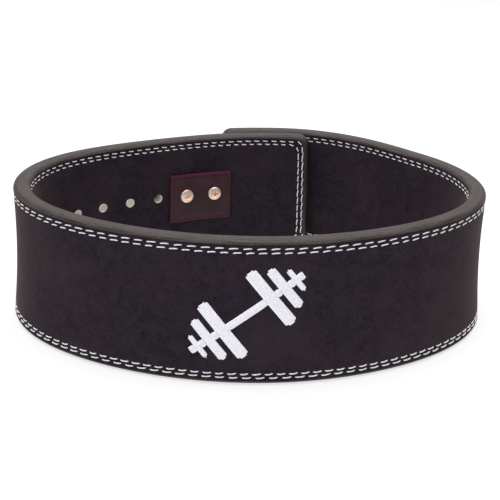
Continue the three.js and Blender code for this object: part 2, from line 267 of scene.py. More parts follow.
# Edge of the leather body, dyed and rubbed smooth with wax: satin, with fine streaks that run along the edge
def burnishedLeatherEdge():
    material, tree, place = startMaterial("burnishedLeatherEdge")
    along = addNode(tree, "ShaderNodeUVMap", uv_map="strapRun").outputs["UV"]
    stretch = (1000 / edgeFinish["streakLength"], 1000 / edgeFinish["streakWidth"], 1.0)
    stretched = addNode(tree, "ShaderNodeMapping", {"Vector": along, "Scale": stretch}).outputs["Vector"]
    settings = {"Vector": stretched, "Scale": 1.0, "Detail": 4.0, "Roughness": 0.7}
    streaks = addNode(tree, "ShaderNodeTexNoise", settings).outputs["Fac"]
    rubbed = addMix(tree, 0.3, streaks, addNoise(tree, place, edgeFinish["pore"]))
    settings = {
        "Base Color": addRamp(tree, rubbed, (0.38, edgeFinish["streakLow"]), (0.62, edgeFinish["streakHigh"])),
        "Roughness": addRange(tree, rubbed, 0.3, 0.7, 0.44, 0.66),
        "IOR": 1.48,
        "Specular IOR Level": 0.32,
    }
    return finishMaterial(material, settings, rubbed, 0.8, 0.0004)


rawFinish = {"fibreLow": "#d6ccbb", "fibreHigh": "#fbf8f1", "fibre": 0.6}


# Undyed vegetable-tanned leather, bared by the punch: cream, matt and fibrous
def punchedRawLeather():
    material, tree, place = startMaterial("punchedRawLeather")
    fibres = addNoise(tree, place, rawFinish["fibre"], 4.0, Roughness=0.7)
    shade = addRamp(tree, fibres, (0.3, rawFinish["fibreLow"]), (0.55, rawFinish["fibreHigh"]))
    settings = {"Base Color": shade, "Roughness": 0.85, "IOR": 1.45, "Specular IOR Level": 0.3}
    return finishMaterial(material, settings, fibres, 0.8, 0.0003)


patchFinish = {"grainLow": "#240c14", "grainHigh": "#381822", "edge": "#4a1025", "pebble": 1.1, "cloud": 14.0}


# Full-grain leather, dyed oxblood and lightly waxed: smooth pebbled grain, redder along its cut edges
def waxedOxbloodLeather():
    material, tree, place = startMaterial("waxedOxbloodLeather")
    settings = {"Vector": place, "Scale": 1000 / patchFinish["pebble"], "Randomness": 1.0}
    pebbles = addNode(tree, "ShaderNodeTexVoronoi", settings, feature="SMOOTH_F1").outputs["Distance"]
    clouds = addNoise(tree, place, patchFinish["cloud"], 4.0, Roughness=0.6)
    grain = addRamp(tree, clouds, (0.3, patchFinish["grainLow"]), (0.7, patchFinish["grainHigh"]))
    inset = addNode(tree, "ShaderNodeAttribute", attribute_name="fromEdge").outputs["Fac"]
    nearEdge = addRange(tree, inset, 0.0, 1.9, 1.0, 0.0)
    shade = addColourMix(tree, nearEdge, grain, colour(patchFinish["edge"]))
    settings = {"Base Color": shade, "Roughness": 0.5, "Specular IOR Level": 0.28, "IOR": 1.48}
    return finishMaterial(material, settings, pebbles, 0.35, 0.00025)


screwFinish = {"plate": "#fae3d3", "worn": "#e2bea4", "stain": 2.2, "polish": 0.35}


# Steel screw with a copper plating: warm, satin with a fine polishing haze, browner where it tarnished
def brightCopperPlate():
    material, tree, place = startMaterial("brightCopperPlate")
    stains = addNoise(tree, place, screwFinish["stain"], 5.0, Roughness=0.6)
    hazes = addNoise(tree, place, screwFinish["polish"])
    shade = addRamp(tree, stains, (0.35, screwFinish["worn"]), (0.6, screwFinish["plate"]))
    rough = addRange(tree, stains, 0.3, 0.7, 0.56, 0.42)
    settings = {"Base Color": shade, "Metallic": 1.0, "Roughness": rough}
    return finishMaterial(material, settings, hazes, 0.12, 0.0001)


steelFinish = {"coat": "#1a1a1c", "scuff": "#4a4a4d", "peel": 0.9, "scuffSize": 9.0}


# Steel stampings with a black powder coat: satin, with a faint orange peel and a few grey scuffs
def powderCoatedSteel():
    material, tree, place = startMaterial("powderCoatedSteel")
    peels = addNoise(tree, place, steelFinish["peel"], 1.5)
    scuffs = addNoise(tree, place, steelFinish["scuffSize"], 6.0, Roughness=0.75)
    shade = addRamp(tree, scuffs, (0.6, steelFinish["coat"]), (0.74, steelFinish["scuff"]))
    rough = addRange(tree, scuffs, 0.35, 0.7, 0.36, 0.55)
    settings = {"Base Color": shade, "Roughness": rough, "IOR": 1.5}
    settings |= {"Coat Weight": 0.15, "Coat Roughness": 0.25}
    return finishMaterial(material, settings, peels, 0.25, 0.0001)


threadFinish = {"thread": "#f4f2f6", "shadow": "#b7b0ba", "lay": 1.1, "fleck": 1.6}


# Bonded polyester sewing thread, white and twisted: satin, with the plies showing as a slant shade
def twistedWhiteThread():
    material, tree, place = startMaterial("twistedWhiteThread")
    along = addNode(tree, "ShaderNodeAttribute", attribute_name="threadAlong").outputs["Fac"]
    aroundThread = addNode(tree, "ShaderNodeAttribute", attribute_name="threadRound").outputs["Fac"]
    turns = addMath(tree, "MULTIPLY_ADD", along, 1000 / threadFinish["lay"], aroundThread)
    wave = addMath(tree, "SINE", addMath(tree, "MULTIPLY", turns, 2 * math.pi))
    ply = addRange(tree, wave, -1.0, 1.0)
    mixed = addMix(tree, 0.5, ply, addNoise(tree, place, threadFinish["fleck"]))
    shade = addRamp(tree, mixed, (0.2, threadFinish["shadow"]), (0.5, threadFinish["thread"]))
    settings = {"Base Color": shade, "Roughness": 0.5, "IOR": 1.5, "Sheen Weight": 0.15, "Sheen Roughness": 0.4}
    return finishMaterial(material, settings, ply, 0.5, 0.00015)


flossFinish = {"floss": "#f6f5fb", "shade": "#cfccd8", "strand": 0.5}


# White rayon embroidery floss, untwisted: silky, shaded between its filaments
def silkyWhiteFloss():
    material, tree, place = startMaterial("silkyWhiteFloss")
    filaments = addNoise(tree, place, flossFinish["strand"])
    shade = addRamp(tree, filaments, (0.25, flossFinish["shade"]), (0.5, flossFinish["floss"]))
    rough = addRange(tree, filaments, 0.3, 0.7, 0.5, 0.38)
    settings = {"Base Color": shade, "Roughness": rough, "IOR": 1.47}
    settings |= {"Sheen Weight": 0.2, "Sheen Roughness": 0.3}
    return finishMaterial(material, settings, filaments, 0.2, 0.0001)


suedeMaterial = buffedBlackSuede()
edgeMaterial = burnishedLeatherEdge()
rawMaterial = punchedRawLeather()
patchMaterial = waxedOxbloodLeather()
copperMaterial = brightCopperPlate()
steelMaterial = powderCoatedSteel()
threadMaterial = twistedWhiteThread()
flossMaterial = silkyWhiteFloss()
print("materials made:", len(bpy.data.materials))


# Puts a bmesh or a mesh into the scene as one smooth piece; corners sharper than the angle stay crisp
def addPiece(name, mesh, materials, sharpAngle=40.0):
    if isinstance(mesh, bmesh.types.BMesh):
        made = bpy.data.meshes.new(name)
        mesh.to_mesh(made)
        mesh.free()
        mesh = made
    for material in materials:
        mesh.materials.append(material)
    piece = bpy.data.objects.new(name, mesh)
    scene.collection.objects.link(piece)
    smoothPiece(piece, sharpAngle)
    return piece


def smoothPiece(piece, sharpAngle):
    shell = bmesh.new()
    shell.from_mesh(piece.data)
    for face in shell.faces:
        face.smooth = True
    for edge in shell.edges:
        edge.smooth = len(edge.link_faces) == 2 and edge.calc_face_angle(0) < math.radians(sharpAngle)
    shell.to_mesh(piece.data)
    shell.free()


# Swaps a piece's modifiers for the mesh that they give
def bakeModifiers(piece):
    graph = bpy.context.evaluated_depsgraph_get()
    evaluated = piece.evaluated_get(graph)
    baked = bpy.data.meshes.new_from_object(evaluated, preserve_all_data_layers=True, depsgraph=graph)
    piece.modifiers.clear()
    old, piece.data = piece.data, baked
    baked.name = piece.name
    bpy.data.meshes.remove(old)
    return piece


def cutWith(piece, cutter, sharpAngle=40.0):
    cut = piece.modifiers.new("cut", "BOOLEAN")
    cut.operation = "DIFFERENCE"
    cut.solver = "EXACT"
    cut.material_mode = "TRANSFER"
    cut.object = cutter
    bakeModifiers(piece)
    smoothPiece(piece, sharpAngle)


# Outline of a rounded rectangle, some distance in from its edge, counter-clockwise from its lower left
def outlineAt(inset, box, corner, acrossShares, upShares, cornerSteps):
    start, end, bottom, top = box
    held = max(inset, corner)
    radius = max(corner - inset, 0)
    across = start + held + acrossShares * (end - start - 2 * held)
    up = bottom + held + upShares * (top - bottom - 2 * held)
    turns = np.radians(np.linspace(0, 90, cornerSteps + 1))
    sides = (
        (np.column_stack((across, np.full(len(across), bottom + inset))), end - held, bottom + held, -90),
        (np.column_stack((np.full(len(up), end - inset), up)), end - held, top - held, 0),
        (np.column_stack((across[::-1], np.full(len(across), top - inset))), start + held, top - held, 90),
        (np.column_stack((np.full(len(up), start + inset), up[::-1])), start + held, bottom + held, 180),
    )
    runs = []
    for run, centreAcross, centreUp, firstAngle in sides:
        angles = turns + math.radians(firstAngle)
        arc = np.column_stack((centreAcross + radius * np.cos(angles), centreUp + radius * np.sin(angles)))
        runs += [run[:-1], arc[:-1]]
    return np.concatenate(runs)


# Flat sheet of quads between two runs of distances, as (corners, places) for each face
def gridFaces(across, up, first, facesOut):
    made = []
    row = len(across)
    for j in range(len(up) - 1):
        for i in range(row - 1):
            cells = [(i, j), (i + 1, j), (i + 1, j + 1), (i, j + 1)]
            cells = cells if facesOut else cells[::-1]
            made.append(([first + n * row + m for m, n in cells], [(across[m], up[n]) for m, n in cells]))
    return made


# Slab with rounded corners. Its section is a profile of (distance in from the outline, distance out) pairs,
# from the middle of its back over its rim to the middle of its face; layout lays (along, out, up) out as
# points.
def slab(box, corner, profile, layout, stationLength, heightStep, cornerSteps=8):
    start, end, bottom, top = box
    counts = (max(1, round((end - start) / stationLength)), max(1, round((top - bottom) / heightStep)))
    acrossShares, upShares = (np.linspace(0, 1, n + 1) for n in counts)
    rings = [outlineAt(inset, box, corner, acrossShares, upShares, cornerSteps) for inset, out in profile]
    size = len(rings[0])
    aroundSteps = np.linalg.norm(np.roll(rings[0], -1, axis=0) - rings[0], axis=1)
    aroundRun = np.concatenate(([0], np.cumsum(aroundSteps)))
    overRun = np.concatenate(([0], np.cumsum(np.linalg.norm(np.diff(np.array(profile), axis=0), axis=1))))
    flat = [
        np.column_stack((points, np.full(size, out), np.full(size, inset)))
        for (inset, out), points in zip(profile, rings)
    ]
    faces = []
    for k in range(len(profile) - 1):
        for j in range(size):
            cells = [(k, j), (k, j + 1), (k + 1, j + 1), (k + 1, j)]
            corners = [m * size + n % size for m, n in cells]
            faces.append((corners, [(aroundRun[n], overRun[m]) for m, n in cells]))
    first = len(profile) * size
    for (inset, out), facesOut in ((profile[0], False), (profile[-1], True)):
        across = start + inset + acrossShares * (end - start - 2 * inset)
        up = bottom + inset + upShares * (top - bottom - 2 * inset)
        acrossGrid, upGrid = (grid.ravel() for grid in np.meshgrid(across, up))
        levels = np.full(len(upGrid), out), np.full(len(upGrid), inset)
        flat.append(np.column_stack((acrossGrid, upGrid, *levels)))
        faces += gridFaces(across, up, first, facesOut)
        first += len(upGrid)
    flat = np.concatenate(flat)
    mesh = bpy.data.meshes.new("slab")
    cornerPoints = layout(flat[:, 0], flat[:, 2], flat[:, 1])
    mesh.from_pydata(cornerPoints.tolist(), [], [corners for corners, places in faces])
    run = mesh.uv_layers.new(name="strapRun")
    run.data.foreach_set("uv", np.array([places for corners, places in faces]).ravel() / 1000)
    fromEdge = mesh.attributes.new("fromEdge", "FLOAT", "POINT")
    fromEdge.data.foreach_set("value", flat[:, 3])
    shell = bmesh.new()
    shell.from_mesh(mesh)
    bpy.data.meshes.remove(mesh)
    bmesh.ops.remove_doubles(shell, verts=shell.verts, dist=1e-6)
    return shell


# Profile of a rim with both of its edges rounded, from the back to the face; each rounding stops at
# lastTurn degrees
def roundedRim(back, face, radius, steps=5, lastTurn=90.0):
    angles = np.radians(np.linspace(0, lastTurn, steps + 1))
    pairs = list(zip(radius * (1 - np.cos(angles)), radius * (1 - np.sin(angles))))
    rising = [(inset, back + left) for inset, left in pairs[::-1]]
    return rising + [(inset, face - left) for inset, left in pairs]


# Place on the strap: origin, then unit vectors along it, up, and out of the loop
def strapFrame(along, out=0.0, up=holeHeight):
    outward = outwardAt(along, up)
    forward = np.array((-outward[1], outward[0], 0.0))
    return strapPoints(along, out, up), forward, np.array((0.0, 0.0, 1.0)), outward


# Closed turned shape from (radius, height) pairs along the last vector of a place, from pole to pole
def turned(pairs, place, sides=48):
    origin, across, up, axis = place
    shell = bmesh.new()
    rings = []
    for radius, height in pairs:
        angles = np.linspace(0, 2 * math.pi, sides, endpoint=False) if radius > 0 else [0.0]
        spokes = [(across * math.cos(a) + up * math.sin(a)) * radius for a in angles]
        rings.append([shell.verts.new(origin + (spoke + axis * height) / 1000) for spoke in spokes])
    for lower, upper in zip(rings, rings[1:]):
        for j in range(sides):
            following = (j + 1) % sides
            corners = [lower[j % len(lower)], lower[following % len(lower)]]
            corners += [upper[following % len(upper)], upper[j % len(upper)]]
            corners = list(dict.fromkeys(corners))
            if len(corners) > 2:
                shell.faces.new(corners)
    return shell


# Several shells as one
def joined(shells):
    whole = bmesh.new()
    for shell in shells:
        part = bpy.data.meshes.new("part")
        shell.to_mesh(part)
        shell.free()
        whole.from_mesh(part)
        bpy.data.meshes.remove(part)
    return whole


def rideRoot(piece, slotName, *nodes):
    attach(piece, "root")
    if nodes:
        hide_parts(*nodes)
    print(f"{piece.name}: {len(piece.data.polygons)} faces")
    return piece


wholeStrap = (0.0, strapLength, 0.0, strap["height"])
sewing = {
    "rowInsets": (5.1, 7.9),  # from the upper edge to each row
    "tipInsets": (3.7, 7.2),  # from the ends to each row
    "rowCorners": (4.6, 6.6),  # radius of each row at the tips
    "grooveDepth": 0.4,
    "grooveWidth": 1.5,
    "dip": 1.0,  # how deep the ends of a stitch go down
    "tipStretch": 1.42,  # how much longer the stitches along the tips are
    "tilt": 5.0,  # degrees
    "tiltRange": (-0.045, 0.045),  # radians
    "lengthRange": (0.92, 1.06),
    "bow": 0.00035,  # metres that the ends of a stitch swing sideways
    "seed": 11,
}
# The thread and its tension differ between the needle side and the bobbin side
sewnSides = {
    "stitchesOutside": {
        "side": 1,
        "lowerInsets": (4.7, 7.4),
        "pitches": (8.9, 8.2),
        "stitchShare": 0.77,
        "thickness": 0.98,
    },
    "stitchesInside": {
        "side": -1,
        "lowerInsets": (3.7, 6.1),
        "pitches": (7.3, 6.7),
        "stitchShare": 0.7,
        "thickness": 0.95,
    },
}
facing = {"thickness": 1.6, "clearance": 0.3, "bevel": 0.5, "bandHeight": 2.6, "crush": 0.15}
holes = {
    "diameter": 7.2,
    "pitch": 25.4,
    "count": 6,
    "outerCount": 2,
    "outerInset": 25.0,
    "screwSetback": 9.7,
    "flare": 0.15,
}

holePlaces = [strap["lapLength"] + holes["screwSetback"] + i * holes["pitch"] for i in range(holes["count"])]
outerHolePlaces = [strapLength - holes["outerInset"] - i * holes["pitch"] for i in range(holes["outerCount"])]
screwPlaces = holePlaces[:2]


# Punches for all the holes, a little wider at the faces, where the punch drew the leather in
def makePunches():
    radius, flare = holes["diameter"] / 2, holes["flare"]
    face, past = halfThickness, halfThickness + 1.0
    half = [(radius, face - 0.7), (radius + 0.3 * flare, face - 0.3)]
    half += [(radius + flare, face), (radius + flare, past), (0, past)]
    pairs = [(r, -h) for r, h in half[::-1]] + half
    punches = joined([turned(pairs, strapFrame(along)) for along in holePlaces + outerHolePlaces])
    return addPiece("punches", punches, [rawMaterial])


punches = makePunches()

# The leather body: full section at its edges, with a recess on both faces for the suede
recess = halfThickness - facing["thickness"] - facing["clearance"]
flank = facing["bandHeight"]
rounded = math.degrees(math.acos(1 - flank / strap["edgeRounding"]))
bodyRim = roundedRim(-halfThickness, halfThickness, strap["edgeRounding"], 8, rounded)
deepInset = strap["tipCorner"] + 1
bodyProfile = [(deepInset, -recess), (flank, -recess), *bodyRim, (flank, recess), (deepInset, recess)]
spacing = (strap["stationLength"], strap["heightStep"])
bodyMesh = slab(wholeStrap, strap["tipCorner"], bodyProfile, strapPoints, *spacing)
strapBody = addPiece("strapBody", bodyMesh, [edgeMaterial])
cutWith(strapBody, punches)
rideRoot(strapBody, "burnished_leather", "strap_core")


# Height of a suede face at a distance from the strap's edge: two sewn grooves in a slightly crushed border
def suedeFaceAt(fromEdge):
    height = halfThickness - facing["crush"] * math.exp(-(((fromEdge - 6.0) / 4.0) ** 2))
    for row in sewing["rowInsets"]:
        height -= sewing["grooveDepth"] * math.exp(-(((fromEdge - row) * 2 / sewing["grooveWidth"]) ** 2))
    return height


# Insets of the rings of the suede's mesh, closest where the sewn rows press it in
suedeRings = [0.8, 1.05, 1.25, 1.4, 1.55, 1.75, 2.0, 2.4, 2.9, 3.4, 3.8]
suedeRings += [4.15, 4.45, 4.7, 4.95, 5.25, 5.6, 6.1, 7.0, 8.5, 11.0]


# Suede on one face; side is 1 outside and -1 inside
def makeSuede(name, side):
    margin = facing["bandHeight"] + facing["clearance"]
    back = recess + facing["clearance"]
    corner = strap["tipCorner"] - margin
    face = suedeFaceAt(margin + facing["bevel"])
    rim = [pair for pair in roundedRim(back, face, facing["bevel"], 3) if pair[1] > (back + face) / 2]
    pressed = [(inset, suedeFaceAt(margin + inset)) for inset in suedeRings]
    profile = [(suedeRings[-1], back), (0.0, back), *rim, *pressed]
    if side < 0:
        profile = [(inset, -out) for inset, out in profile[::-1]]
    box = (margin, strapLength - margin, margin, strap["height"] - margin)
    suede = addPiece(name, slab(box, corner, profile, strapPoints, *spacing), [suedeMaterial])
    cutWith(suede, punches)
    return suede


rideRoot(makeSuede("suedeFacing", 1), "black_suede", "suede_facing")
rideRoot(makeSuede("suedeLining", -1), "black_suede", "suede_lining")
print("strap built")

patch = {
    "length": 55.0,
    "height": 42.0,
    "drop": 2.2,
    "thickness": 2.2,
    "corner": 1.5,
    "bevel": 0.55,
    "creaseInset": 2.1,
    "creaseDepth": 0.18,
}
screw = {
    "headDiameter": 11.4,
    "headHeight": 2.4,
    "shankDiameter": 5.0,
    "shankLength": 11.0,
    "crossLength": 6.2,
    "crossWidth": 1.45,
    "crossDepth": 1.6,
    "turns": (9.0, -14.0),  # degrees that each cross is turned
}
patchInside = -halfThickness - patch["thickness"]
patchMiddle = sum(screwPlaces) / 2


# Bevelled patch with a crease pressed along its border, two shanks through it
def makePatch():
    crease = patch["creaseInset"]
    face = halfThickness - 0.05
    back = -patchInside
    insets = (crease - 0.45, crease - 0.2, crease, crease + 0.2, crease + 0.45, 4.5)
    depths = (0, 0.6, 1, 0.6, 0, 0)
    rim = roundedRim(face, back, patch["bevel"], 4)
    rim = [(0.0, face), *[pair for pair in rim if pair[1] > (face + back) / 2]]
    profile = [(4.5, face), *rim, *((i, back - d * patch["creaseDepth"]) for i, d in zip(insets, depths))]
    profile = [(inset, -out) for inset, out in profile[::-1]]
    half = (patch["length"] / 2, patch["height"] / 2)
    middle = holeHeight - patch["drop"]
    box = (patchMiddle - half[0], patchMiddle + half[0], middle - half[1], middle + half[1])
    mesh = slab(box, patch["corner"], profile, strapPoints, stationLength=2.5, heightStep=4.0, cornerSteps=5)
    made = addPiece("backingPatch", mesh, [patchMaterial])
    radius = screw["shankDiameter"] / 2 + 0.05
    pairs = [(0, -9), (radius, -9), (radius, 9), (0, 9)]
    drills = joined([turned(pairs, strapFrame(along, -halfThickness), 24) for along in screwPlaces])
    drills = addPiece("drills", drills, [])
    cutWith(made, drills)
    bpy.data.objects.remove(drills)
    return made


# Tapered slot of a cross recess as a closed wedge; halves of its length and width at its mouth and at its floor
def makeSlot(place, angle, mouth, floor, mouthHeight, floorHeight):
    origin, across, up, axis = place
    turnedAcross = across * math.cos(angle) + up * math.sin(angle)
    turnedUp = up * math.cos(angle) - across * math.sin(angle)
    shell = bmesh.new()
    for (halfLength, halfWidth), height in ((mouth, mouthHeight), (floor, floorHeight)):
        for a, b in ((-1, -1), (1, -1), (1, 1), (-1, 1)):
            offset = turnedAcross * a * halfLength + turnedUp * b * halfWidth + axis * height
            shell.verts.new(origin + offset / 1000)
    shell.verts.ensure_lookup_table()
    for corners in ((3, 2, 1, 0), (4, 5, 6, 7), (0, 1, 5, 4), (1, 2, 6, 5), (2, 3, 7, 6), (3, 0, 4, 7)):
        shell.faces.new([shell.verts[i] for i in corners])
    return shell


# Low screw head with a narrow flat round its dome and a cross recess, seated on the patch
def makeScrew(name, along, turn):
    radius, height = screw["headDiameter"] / 2, screw["headHeight"]
    shank = screw["shankDiameter"] / 2
    head = [(0, 1.0), (0.3, 0.99), (0.52, 0.95), (0.68, 0.88), (0.74, 0.83), (0.77, 0.8)]
    head += [(0.87, 0.77), (0.94, 0.68), (0.985, 0.5), (1.0, 0.3), (1.0, 0.06), (0.98, 0.0)]
    pairs = [(radius * r, -height * h) for r, h in head]
    pairs += [(shank, 0.0), (shank, screw["shankLength"]), (0, screw["shankLength"])]
    place = strapFrame(along, patchInside)
    made = addPiece(name, turned(pairs, place, 64), [copperMaterial], 50.0)
    mouth = (screw["crossLength"] / 2, screw["crossWidth"] / 2)
    floor = (mouth[0] * 0.6, mouth[1] * 0.62)
    for quarter in (0, 90):
        floorHeight = screw["crossDepth"] - height
        slot = makeSlot(place, math.radians(turn + quarter), mouth, floor, -height - 0.3, floorHeight)
        cutter = addPiece("slot", slot, [])
        cutWith(made, cutter, 50.0)
        bpy.data.objects.remove(cutter)
    return made


rideRoot(makePatch(), "oxblood_leather", "backing_patch")
screwNames = (("screwRight", "screw_right"), ("screwLeft", "screw_left"))
for (name, node), along, turn in zip(screwNames, screwPlaces, screw["turns"]):
    rideRoot(makeScrew(name, along, turn), "copper_plate", node)
bpy.data.objects.remove(punches)

buckle = {
    "plateThickness": 2.0,
    "plateHeight": 46.0,
    "plateEnd": 8.5,
    "corner": 4.0,
    "bevel": 0.55,
    "earLength": 46.0,
    "leverDrop": 0.7,
    "leverLip": 3.0,  # rise of the lever's free end, where a thumb lifts it
    "dish": 0.7,  # depth of the pressed panel in the lever
    "hingeDiameter": 7.0,
    "cheekMargin": 1.2,  # of each cheek round the hinge
    "pinOverhang": 1.6,  # of the hinge pin past each cheek
    "leverPlay": 0.4,  # between the lever and each cheek
    "knucklePlay": 0.3,  # between the outer knuckles and each cheek
    "middleKnuckle": 8.6,  # half its length
    "outerKnuckles": 9.0,  # where they start, from the middle knuckle's middle
    "prongEnd": 1.0,  # how far the prongs and posts end before the inner face
    "prongPlateHeight": 34.0,
    "prongDiameter": 6.6,
}
plateFoot = halfThickness
plateFace = plateFoot + buckle["plateThickness"] + 0.3
buckleTop = strap["lapGap"] + strap["thickness"] + halfThickness + 0.3 + buckle["plateThickness"]
plateFrom = screwPlaces[0] - buckle["plateEnd"]
plateTo = screwPlaces[1] + buckle["plateEnd"] + holes["pitch"]
leverFrom, leverTo = plateFrom + buckle["corner"], plateTo - buckle["corner"]
buckleLow, buckleHigh = holeHeight - buckle["plateHeight"] / 2, holeHeight + buckle["plateHeight"] / 2


# Outer face of the closed lever over the plate, with the lip at its free end
def leverRise(along):
    share = np.clip((np.asarray(along) - leverFrom) / (leverTo - leverFrom), 0, 1)
    end = buckleTop + (plateFace - buckleTop) * buckle["leverDrop"]
    lip = np.clip((share - 0.84) / 0.16, 0, 1)
    return buckleTop - buckle["plateThickness"] + (end - buckleTop) * share + buckle["leverLip"] * lip * lip


def leverLayout(along, out, up):
    return strapPoints(along, out + leverRise(along), up)


# Stamped plate with rounded edges; its face may have a pressed panel
def plateSlab(box, back, face, layout, dish=0.0):
    rim = roundedRim(back, face, buckle["bevel"], 3)
    profile = [(buckle["corner"] + 1, back), *rim, (buckle["corner"] + 1, face)]
    if dish:
        profile += [(6.0, face), (6.5, face - 0.15 * dish), (7.4, face - 0.85 * dish)]
        profile += [(8.0, face - dish), (10.0, face - dish)]
    return slab(box, buckle["corner"], profile, layout, stationLength=2.5, heightStep=4.0, cornerSteps=6)


# Upright cheek from its outline of (along, out) pairs, between two heights
def cheek(outlinePairs, low, high):
    pairs = []
    for (a0, o0), (a1, o1) in zip(outlinePairs, outlinePairs[1:] + outlinePairs[:1]):
        count = max(1, round(math.hypot(a1 - a0, o1 - o0) / 2.5))
        pairs += [(a0 + (a1 - a0) * i / count, o0 + (o1 - o0) * i / count) for i in range(count)]
    along, out = np.array(pairs).T
    shell = bmesh.new()
    rings = [[shell.verts.new(point) for point in strapPoints(along, out, up)] for up in (low, high)]
    shell.faces.new(rings[0][::-1])
    shell.faces.new(rings[1])
    for j in range(len(pairs)):
        following = (j + 1) % len(pairs)
        shell.faces.new((rings[0][j], rings[0][following], rings[1][following], rings[1][j]))
    bmesh.ops.recalc_face_normals(shell, faces=shell.faces)
    rim = [edge for edge in shell.edges if edge.calc_face_angle(0) > 0.8]
    bmesh.ops.bevel(shell, geom=rim, offset=0.0004, segments=2, profile=0.5, affect="EDGES")
    return shell


# Fastened lever buckle: plate on two posts, cheeks, hinge, closed lever, and the prong plate over the outer end
def makeBuckle():
    thick = buckle["plateThickness"]
    hingeRadius = buckle["hingeDiameter"] / 2
    hingeAlong, hingeOut = plateFrom + 2 * hingeRadius, buckleTop - hingeRadius
    shells = [plateSlab((plateFrom, plateTo, buckleLow, buckleHigh), plateFoot, plateFace, strapPoints)]
    play = buckle["leverPlay"]
    leverBox = (leverFrom, leverTo, buckleLow + thick + play, buckleHigh - thick - play)
    shells.append(plateSlab(leverBox, -thick, 0.0, leverLayout, buckle["dish"]))
    lobeRadius = hingeRadius + buckle["cheekMargin"]
    lobeAngles = np.radians(np.linspace(30, 195, 12))
    lobe = [(hingeAlong + lobeRadius * math.cos(a), hingeOut + lobeRadius * math.sin(a)) for a in lobeAngles]
    earEnd = plateFrom + buckle["earLength"]
    foot = [(hingeAlong - hingeRadius - buckle["cheekMargin"], plateFoot + 1.0), (earEnd, plateFoot + 1.0)]
    slope = [(earEnd, plateFace + 2.0), (plateFrom + 0.62 * buckle["earLength"], plateFace + 6.0)]
    for low in (buckleLow, buckleHigh - thick):
        shells.append(cheek(lobe + foot + slope, low, low + thick))
    origin = strapPoints(hingeAlong, hingeOut, 0.0)
    upright = (origin, np.array((1.0, 0.0, 0.0)), np.array((0.0, 1.0, 0.0)), np.array((0.0, 0.0, 1.0)))
    ends = (buckleLow - buckle["pinOverhang"], buckleHigh + buckle["pinOverhang"])
    dome = [(0.0, 0.0), (0.35, 0.08), (0.6, 0.3), (0.68, 0.7), (0.68, 1.6)]
    pin = [(hingeRadius * r, ends[0] + h) for r, h in dome]
    pin += [(hingeRadius * r, ends[1] - h) for r, h in dome[::-1]]
    shells.append(turned(pin, upright, 32))
    middle, start, play = buckle["middleKnuckle"], buckle["outerKnuckles"], buckle["knucklePlay"]
    lowKnuckle = (buckleLow + thick + play, holeHeight - start)
    highKnuckle = (holeHeight + start, buckleHigh - thick - play)
    for low, high in (lowKnuckle, (holeHeight - middle, holeHeight + middle), highKnuckle):
        knuckle = [(0, low), (hingeRadius - 0.5, low), (hingeRadius, low + 0.5)]
        knuckle += [(hingeRadius, high - 0.5), (hingeRadius - 0.5, high), (0, high)]
        shells.append(turned(knuckle, upright, 32))
    overlap = plateFrom - strap["lapLength"]
    reach = holes["outerInset"] + (holes["outerCount"] - 1) * holes["pitch"] + holes["diameter"]
    half = buckle["prongPlateHeight"] / 2
    prongEnd = strapLength + overlap + buckle["earLength"] / 2
    prongBox = (strapLength - reach, prongEnd, holeHeight - half, holeHeight + half)
    shells.append(plateSlab(prongBox, plateFoot, plateFace, strapPoints))
    bodyEnd = buckle["prongEnd"] - halfThickness
    for along in outerHolePlaces:
        radius = buckle["prongDiameter"] / 2
        pairs = [(0, bodyEnd), (radius - 0.8, bodyEnd), (radius, bodyEnd + 0.8), (radius, plateFace - 0.5)]
        pairs += [(radius + 1.0, plateFace), (radius + 0.9, plateFace + 0.5)]
        pairs += [(radius - 0.4, plateFace + 1.0), (0, plateFace + 1.15)]
        shells.append(turned(pairs, strapFrame(along), 32))
    for along in screwPlaces:
        radius = holes["diameter"] / 2 - 0.3
        pairs = [(0, bodyEnd), (radius, bodyEnd), (radius, plateFace)]
        pairs += [(radius + 1.2, plateFace), (radius + 1.0, plateFace + 0.7)]
        pairs += [(radius - 0.6, plateFace + 1.3), (0, plateFace + 1.4)]
        shells.append(turned(pairs, strapFrame(along), 32))
    return addPiece("leverBuckle", joined(shells), [steelMaterial], 50.0)


rideRoot(makeBuckle(), "black_steel", "lever_buckle")
print("fittings built")

emblem = {
    "slant": 38.0,  # degrees
    "length": 88.0,
    "bar": 6.4,
    "relief": 1.4,
    "padding": 0.3,
    # discs of each side, as shares of the length: middle, width, height
    "discs": ((0.215, 0.105, 0.5), (0.34, 0.085, 0.36), (0.44, 0.05, 0.2)),
    "corner": 1.8,
    "strandPitch": 1.05,  # mm; real satin stitches lie 0.4 mm apart, too fine to show
    "strandThickness": 1.25,
    "seed": 5,
}
frontMiddle = np.interp(0, path["point"][:, 0][path["point"][:, 1] < 0], path["along"][path["point"][:, 1] < 0])


# The emblem's own plane, slanted and laid on the front of the belt
def emblemPlace(along, up):
    slant = math.radians(emblem["slant"])
    across = along * math.cos(slant) - up * math.sin(slant)
    return frontMiddle + across, midHeight + along * math.sin(slant) + up * math.cos(slant)


def emblemLayout(along, out, up):
    placeAlong, placeUp = emblemPlace(along, up)
    return strapPoints(placeAlong, out, placeUp)


